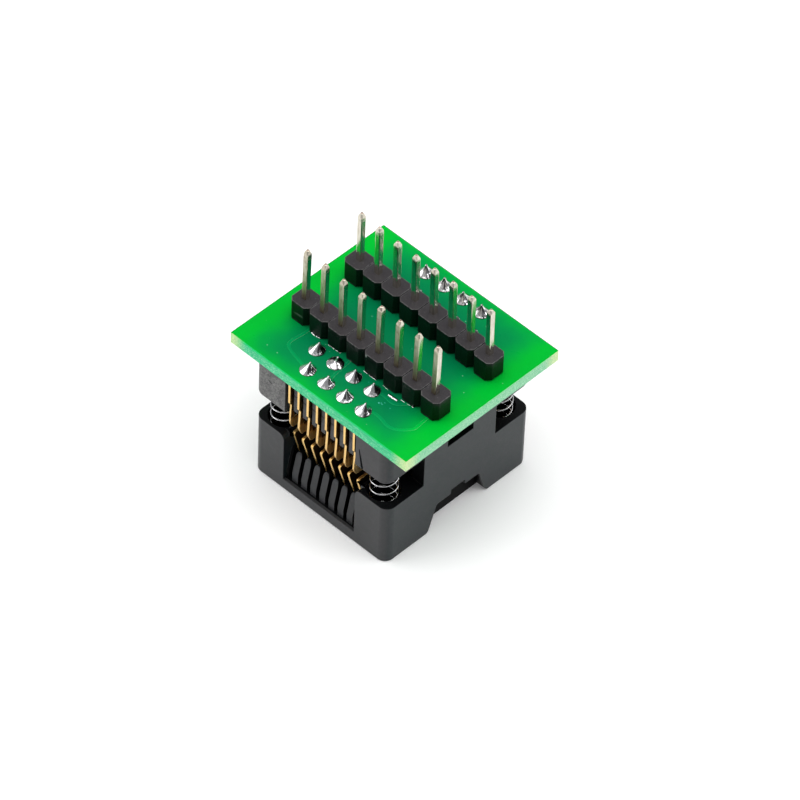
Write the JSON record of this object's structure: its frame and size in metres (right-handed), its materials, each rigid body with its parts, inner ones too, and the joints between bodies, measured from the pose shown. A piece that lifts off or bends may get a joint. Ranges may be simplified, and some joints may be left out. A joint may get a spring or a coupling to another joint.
{
  "type": "programming socket adapter",
  "caption": "Open-top spring-loaded socket for a 16-lead small-outline chip, on a green adapter board with two rows of square header pins, lying cover face down.",
  "frame": {"origin": "centre of the object's footprint, on the surface it lies on (the cover's open face)", "axes": "+Z from the cover's face up to the header pins, the pins' direction; X along the header rows and contact rows; -Y is the long side nearest the viewer in the picture"},
  "size_m": [0.0242, 0.0214, 0.0266],
  "materials": {
    "board_green": "green solder mask on glass-epoxy board, satin gloss, pale cut edges",
    "header_black": "charcoal moulded insulator, satin",
    "pin_tin": "tin-plated square pins with a warm silver sheen",
    "base_black": "black glass-filled moulding, satin",
    "cover_black": "black moulding, satin with soft gloss on the faces",
    "contact_gold": "gold-plated stampings, bright cut edges and browner faces",
    "spring_steel": "bright drawn wire",
    "solder_tin": "bright solder, slightly uneven"
  },
  "bodies": {
    "base": {"socket_base": "base_black", "adapter_pcb": "board_green", "header_strip_near": "header_black", "header_strip_far": "header_black", "header_pin_01": "pin_tin", "header_pin_02": "pin_tin", "header_pin_03": "pin_tin", "header_pin_04": "pin_tin", "header_pin_05": "pin_tin", "header_pin_06": "pin_tin", "header_pin_07": "pin_tin", "header_pin_08": "pin_tin", "header_pin_09": "pin_tin", "header_pin_10": "pin_tin", "header_pin_11": "pin_tin", "header_pin_12": "pin_tin", "header_pin_13": "pin_tin", "header_pin_14": "pin_tin", "header_pin_15": "pin_tin", "header_pin_16": "pin_tin", "contact_frame_01": "contact_gold", "contact_frame_02": "contact_gold", "contact_frame_03": "contact_gold", "contact_frame_04": "contact_gold", "contact_frame_05": "contact_gold", "contact_frame_06": "contact_gold", "contact_frame_07": "contact_gold", "contact_frame_08": "contact_gold", "contact_frame_09": "contact_gold", "contact_frame_10": "contact_gold", "contact_frame_11": "contact_gold", "contact_frame_12": "contact_gold", "contact_frame_13": "contact_gold", "contact_frame_14": "contact_gold", "contact_frame_15": "contact_gold", "contact_frame_16": "contact_gold", "spring_front": "spring_steel", "spring_left": "spring_steel", "spring_right": "spring_steel", "spring_back": "spring_steel", "tail_solder_near": "solder_tin", "tail_solder_far": "solder_tin", "header_solder": "solder_tin"},
    "cover": {"cover": "cover_black"},
    "near_arms": {"contact_arm_01": "contact_gold", "contact_arm_02": "contact_gold", "contact_arm_03": "contact_gold", "contact_arm_04": "contact_gold", "contact_arm_05": "contact_gold", "contact_arm_06": "contact_gold", "contact_arm_07": "contact_gold", "contact_arm_08": "contact_gold"},
    "far_arms": {"contact_arm_09": "contact_gold", "contact_arm_10": "contact_gold", "contact_arm_11": "contact_gold", "contact_arm_12": "contact_gold", "contact_arm_13": "contact_gold", "contact_arm_14": "contact_gold", "contact_arm_15": "contact_gold", "contact_arm_16": "contact_gold"}
  },
  "joints": [
    {"name": "cover_slide", "type": "slide", "parent": "base", "child": "cover", "axis": [0, 0, 1], "range_m": [0, 0.0028], "stiffness_N_per_m": 1500, "springref_m": -0.0015, "deforming": ["spring_front", "spring_left", "spring_right", "spring_back"]},
    {"name": "near_arm_hinge", "type": "hinge", "parent": "base", "child": "near_arms", "pos_m": [0, -0.0063, 0.0093], "axis": [1, 0, 0], "range_deg": [-15, 0]},
    {"name": "far_arm_hinge", "type": "hinge", "parent": "base", "child": "far_arms", "pos_m": [0, 0.0063, 0.0093], "axis": [1, 0, 0], "range_deg": [0, 15]}
  ],
  "couplings": [
    {"joint": "near_arm_hinge", "follows": "cover_slide", "rad_per_m": -93.45},
    {"joint": "far_arm_hinge", "follows": "cover_slide", "rad_per_m": 93.45}
  ]
}
